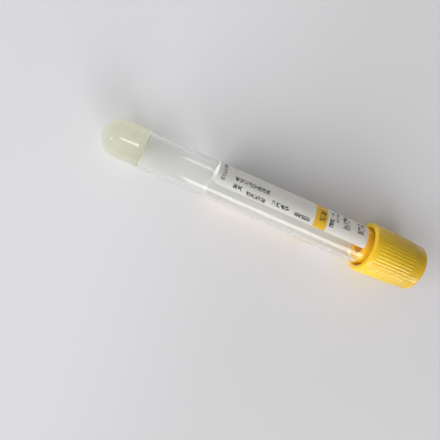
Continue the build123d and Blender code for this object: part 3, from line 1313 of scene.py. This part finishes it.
@dataclass(frozen=True)
class SafetyCap(TurnedPiece):
    """Ribbed yellow cap: flared skirt over the tube, pocket for the stopper and a needle port."""

    name: ClassVar[str] = "safety_cap"
    body: ClassVar[Body] = Body.CLOSURE
    slot: ClassVar[Slot] = Slot.CAP
    node: ClassVar[str] = "cap"
    barrel: Barrel
    stopper: Stopper
    skirt: float = 8.6
    clearance: float = 0.35
    skirt_wall: float = 1.63
    lip_flare: float = 0.05
    collar: float = 2.0
    collar_step: float = 0.4
    pocket_play: float = 0.05
    pocket_wall: float = 1.2
    top_thickness: float = 1.7
    top_round: float = 1.1
    lip_round: float = 0.6
    lip_wall: float = 1.65
    bead_clearance: float = 0.2
    bead_height: float = 1.2
    bead_round: float = 0.3
    bead_lead: float = 1.0
    lead_round: float = 0.5
    flare: float = 0.9
    flare_round: float = 0.4
    port: float = 4.0
    port_round: float = 0.3
    edge_round: float = 0.1
    ribs: int = 46
    rib_segments: int = 12  # of the turned shell, for each rib
    rib_height: float = 0.17
    groove: float = 0.12  # depth between the crests, which moulding rounds off
    rib_run_out: float = 0.5
    run_out_steps: int = 4  # rings of faces over which the ribs run out
    top_band: float = 4.5
    finish: YellowPolyethylene = YellowPolyethylene()

    @property
    def lip(self) -> float:
        """Station of the lip."""
        return self.barrel.length - self.skirt

    @property
    def collar_end(self) -> float:
        """Station where the collar ends and the ribs begin."""
        return self.lip + self.collar

    @property
    def top(self) -> float:
        """Station of the cap's top."""
        return self.stopper.head_top + self.top_thickness

    @property
    def body_radius(self) -> float:
        """Outside radius between the ribs, at the collar."""
        return self.barrel.rim_radius + self.clearance + self.skirt_wall

    @property
    def pocket_radius(self) -> float:
        """Radius of the stopper's pocket at the tube's rim."""
        return self.stopper.head_radius + self.pocket_play

    @property
    def top_radius(self) -> float:
        """Outside radius at the top."""
        return self.pocket_radius - self.stopper.head_draft + self.pocket_wall

    @property
    def growth(self) -> float:
        """Change of the outside radius along the ribs, for each millimetre."""
        return (self.top_radius - self.body_radius) / (self.top - self.collar_end)

    @property
    def ribs_end(self) -> float:
        """Station where the ribs end."""
        return self.top - self.top_band

    def radius(self, station: float) -> float:
        """Outside radius at a station past the collar, between the ribs."""
        return self.body_radius + self.growth * (station - self.collar_end)

    def outline(self) -> list[Point]:
        """Outline of the cap without its ribs.

        Returns:
            The points from the lip, over the outside and the top to the inside of the skirt.
        """
        fold = self.edge_round
        rim, rim_radius = self.barrel.length, self.barrel.rim_radius
        head_top = self.stopper.head_top
        collar_radius = self.body_radius + self.rib_height
        lip_radius = collar_radius + self.lip_flare
        step = self.collar_end + self.collar_step
        inside = rim_radius + self.clearance
        bead = rim_radius + self.bead_clearance
        bead_start = rim - self.bead_height
        shares = [1 - index / self.run_out_steps for index in range(self.run_out_steps + 1)]
        run_out = [self.ribs_end - self.rib_run_out * share for share in shares]
        return rounded([
            (lip_radius - self.lip_wall, self.lip, fold),
            (lip_radius, self.lip, self.lip_round),
            (collar_radius, self.collar_end, fold),
            (self.radius(step), step, fold),
            *((self.radius(station), station, 0.0) for station in run_out),
            (self.top_radius, self.top, self.top_round),
            (self.port, self.top, self.port_round),
            (self.port, head_top, 0.0),
            (self.pocket_radius - self.stopper.head_draft, head_top, 0.0),
            (self.pocket_radius, rim, 0.0),
            (bead, rim, fold),
            (bead, bead_start, self.bead_round),
            (inside, bead_start - self.bead_lead, self.lead_round),
            (inside, self.lip + self.flare, self.flare_round),
        ])

    def shape(self, material: Material) -> Mesh:
        """Turned shell with its ribs raised.

        Args:
            material: the cap's material, which the ribs' tree sets.

        Returns:
            The mesh.
        """
        shell = turned(self.name, self.outline(), self.ribs * self.rib_segments)
        values = {
            "Ribs": self.ribs, "Height": self.rib_height, "Groove": self.groove,
            "First Station": self.collar_end, "Last Station": self.ribs_end,
            "Run Out": self.rib_run_out, "Radius": self.body_radius, "Growth": self.growth,
            "Finish": material,
        }
        return grip_rib_tree().run(shell, values)


# --- Studio ---

SKY_GAIN = 1.5  # makes light that grows with its height over the horizon as strong as even light


@dataclass(frozen=True)
class Viewpoint:
    """Camera above the tube, turned so that the tube runs down to the right."""

    station: float = 20.75
    side: float = -10.76
    height: float = 141.2
    lean: float = math.radians(9.24)  # towards the cap
    roll: float = math.radians(23.2)
    focal: float = 36.92
    sensor: float = 36.0
    nearest: float = 0.005  # metres from the camera at which things start to show

    def place(self, axis: RestingAxis) -> None:
        """Makes the scene's camera.

        Args:
            axis: the tube's axis.
        """
        data = bpy.data.cameras.new("camera")
        data.lens, data.sensor_width, data.clip_start = self.focal, self.sensor, self.nearest
        camera = linked("camera", data)
        forward = axis.along * math.sin(self.lean) - axis.up * math.cos(self.lean)
        level = axis.along * math.cos(self.lean) + axis.up * math.sin(self.lean)
        right = level * math.cos(self.roll) + axis.side * math.sin(self.roll)
        upward = axis.side * math.cos(self.roll) - level * math.sin(self.roll)
        turn = Matrix((right, upward, -forward)).transposed().to_4x4()
        spot = axis.matrix @ Vector((self.station, self.side, self.height))
        camera.matrix_world = Matrix.Translation(spot) @ turn
        bpy.context.scene.camera = camera


@dataclass(frozen=True)
class Softbox:
    """A soft lamp that faces the middle of the tube."""

    name: str
    centre: tuple[float, float, float]  # metres along the tube, to its side and up
    long_side: tuple[float, float, float]  # its direction, along the tube, to its side and up
    size: tuple[float, float]  # long side and short side, metres
    level: float  # brightness that it alone gives a white face turned to it
    mirrored: bool = True  # whether shiny and clear things show it

    def place(self, axis: RestingAxis) -> None:
        """Makes the lamp.

        Args:
            axis: the tube's axis.
        """
        spot = axis.turn @ Vector(self.centre)
        data = bpy.data.lights.new(self.name, "AREA")
        data.shape = "RECTANGLE"
        data.size, data.size_y = self.size
        data.energy = self.level * math.pi**2 * spot.length_squared
        lamp = linked(self.name, data)
        lamp.visible_glossy = lamp.visible_transmission = self.mirrored
        out = spot.normalized()
        across = out.cross(axis.turn @ Vector(self.long_side)).normalized()
        turn = Matrix((across.cross(out), across, out)).transposed().to_4x4()
        lamp.matrix_world = Matrix.Translation(spot) @ turn


@dataclass(frozen=True)
class Studio:
    """Pale table, soft lamps and an even world."""

    ambient: float = 0.34
    overhead: float = 0.5  # share of that light that comes from above, and not from all round
    mirrored: float = 0.15  # the world as shiny things show it, which lights nothing
    beyond: float = 0.40  # the world as clear things show it
    backdrop: float = 0.68  # the world as the camera sees it
    table_size: float = 1.2  # metres from the middle to an edge
    lamps: tuple[Softbox, ...] = (
        Softbox("window", (3.0, -6.0, 2.1), (0.8, 0.0, 0.08), (6.0, 2.4), 0.31),
        Softbox("side_window", (4.8, -5.2, 3.6), (0.8, 0.0, -0.5), (3.3, 2.7), 0.12),
        Softbox("bright_wall", (-7.8, -8.0, 4.8), (0.74, -0.7, 0.0), (15.0, 9.6), 0.9, False),
        Softbox("skylight", (-4.4, -2.0, 3.6), (0.3, 1.0, 0.0), (1.4, 0.9), 0.056),
        Softbox("ceiling", (-0.67, 0.0, 5.9), (1.0, 0.0, 0.0), (0.37, 0.9), 0.026),
    )
    table: PaleTable = PaleTable()

    def _light_world(self) -> None:
        """Makes a white world that has one level as light and others as it is seen."""
        world = bpy.data.worlds.new("studio")
        world.use_nodes = True
        air = Wiring(world.node_tree)
        air.tree.nodes.clear()
        ray = air.node("ShaderNodeLightPath").outputs
        direction = air.node("ShaderNodeTexCoord").outputs["Generated"]
        rise = air.node("ShaderNodeSeparateXYZ", {0: direction}).outputs["Z"]
        height = air.maths("MAXIMUM", rise, 0.0)
        above = SKY_GAIN * self.ambient * self.overhead
        around = self.ambient * (1 - self.overhead)
        strength = air.maths("MULTIPLY_ADD", height, above, around)
        shown = {"Glossy": self.mirrored, "Transmission": self.beyond, "Camera": self.backdrop}
        for kind, level in shown.items():
            clear = air.maths("SUBTRACT", 1.0, ray[f"Is {kind} Ray"])
            excess = air.maths("SUBTRACT", strength, level)
            strength = air.maths("MULTIPLY_ADD", excess, clear, level)
        white = air.node("ShaderNodeBackground", {"Color": (1.0, 1.0, 1.0), "Strength": strength})
        air.node("ShaderNodeOutputWorld", {"Surface": white.outputs[0]})
        bpy.context.scene.world = world

    def _lay_table(self, axis: RestingAxis) -> None:
        """Makes the table.

        Args:
            axis: the tube's axis.
        """
        half = self.table_size
        mesh = bpy.data.meshes.new("table")
        corners = [(-half, -half, 0), (half, -half, 0), (half, half, 0), (-half, half, 0)]
        mesh.from_pydata(corners, [], [(0, 1, 2, 3)])
        mesh.materials.append(self.table.material(axis))
        table = linked("table", mesh)

    def build(self, axis: RestingAxis) -> None:
        """Makes the world, the table and the lamps.

        Args:
            axis: the tube's axis.
        """
        bpy.context.scene.view_settings.view_transform = "Standard"
        self._light_world()
        self._lay_table(axis)
        for lamp in self.lamps:
            lamp.place(axis)


# --- Assembly ---


def main() -> None:
    """Places the camera, builds the pieces in order and then the studio."""
    logging.basicConfig(level=logging.INFO, format="%(name)s: %(message)s")
    barrel = Barrel()
    axis = RestingAxis.from_cad(barrel.end_radius)
    Viewpoint().place(axis)
    stopper = Stopper(barrel)
    cap = SafetyCap(barrel, stopper)
    for part in (barrel, GelPlug(barrel), WrappedLabel(barrel), stopper, cap, Studio()):
        part.build(axis)


if __name__ == "__main__":
    main()
